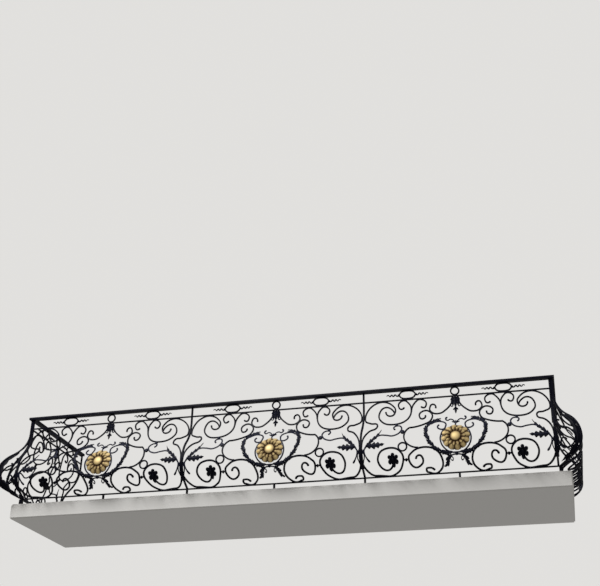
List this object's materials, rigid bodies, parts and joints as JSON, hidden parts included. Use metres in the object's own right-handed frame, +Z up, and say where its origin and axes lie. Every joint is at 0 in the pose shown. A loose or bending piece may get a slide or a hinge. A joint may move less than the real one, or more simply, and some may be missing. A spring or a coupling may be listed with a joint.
{
  "type": "iron balcony railing",
  "caption": "U-shaped bellied balcony railing of scrolled iron bars with a frieze of ovals, leaf branches and gilt sunflower rosettes, closing the front and both sides of a balcony.",
  "frame": {"origin": "centre of the underside of the middle front foot, on the slab, in the plane of the front handrail", "axes": "+X along the front to the right, +Y back towards the wall, +Z up"},
  "size_m": [6.204, 1.558, 1],
  "materials": {
    "scroll_paint": "weathered blue-black paint, satin, on forged bars and posts",
    "rail_paint": "weathered blue-black paint, satin, on the rails",
    "leaf_paint": "weathered blue-black paint on cast leaves",
    "gilt": "aged gold paint on cast rosettes, satin"
  },
  "bodies": {
    "root": {"front_bottom_rail": "rail_paint", "front_feet": "scroll_paint", "front_frieze": "scroll_paint", "front_handrail": "rail_paint", "front_second_rail": "rail_paint", "left_bay_leaf_branches": "leaf_paint", "left_bay_leaf_drop": "leaf_paint", "left_bay_lower_scrolls": "scroll_paint", "left_bay_lyre_garland": "scroll_paint", "left_bay_sunflower": "gilt", "left_bay_upper_scrolls": "scroll_paint", "left_corner_post": "scroll_paint", "left_corner_scrolls": "scroll_paint", "left_end_post": "scroll_paint", "left_front_post": "scroll_paint", "left_return_bottom_rail": "rail_paint", "left_return_frieze": "scroll_paint", "left_return_handrail": "rail_paint", "left_return_leaf_branches": "leaf_paint", "left_return_lower_scrolls": "scroll_paint", "left_return_posts": "scroll_paint", "left_return_second_rail": "rail_paint", "left_return_upper_scrolls": "scroll_paint", "middle_bay_leaf_branches": "leaf_paint", "middle_bay_leaf_drop": "leaf_paint", "middle_bay_lower_scrolls": "scroll_paint", "middle_bay_lyre_garland": "scroll_paint", "middle_bay_sunflower": "gilt", "middle_bay_upper_scrolls": "scroll_paint", "right_bay_leaf_branches": "leaf_paint", "right_bay_leaf_drop": "leaf_paint", "right_bay_lower_scrolls": "scroll_paint", "right_bay_lyre_garland": "scroll_paint", "right_bay_sunflower": "gilt", "right_bay_upper_scrolls": "scroll_paint", "right_corner_post": "scroll_paint", "right_corner_scrolls": "scroll_paint", "right_end_post": "scroll_paint", "right_front_post": "scroll_paint", "right_return_bottom_rail": "rail_paint", "right_return_frieze": "scroll_paint", "right_return_handrail": "rail_paint", "right_return_leaf_branches": "leaf_paint", "right_return_lower_scrolls": "scroll_paint", "right_return_posts": "scroll_paint", "right_return_second_rail": "rail_paint", "right_return_upper_scrolls": "scroll_paint"}
  },
  "joints": []
}
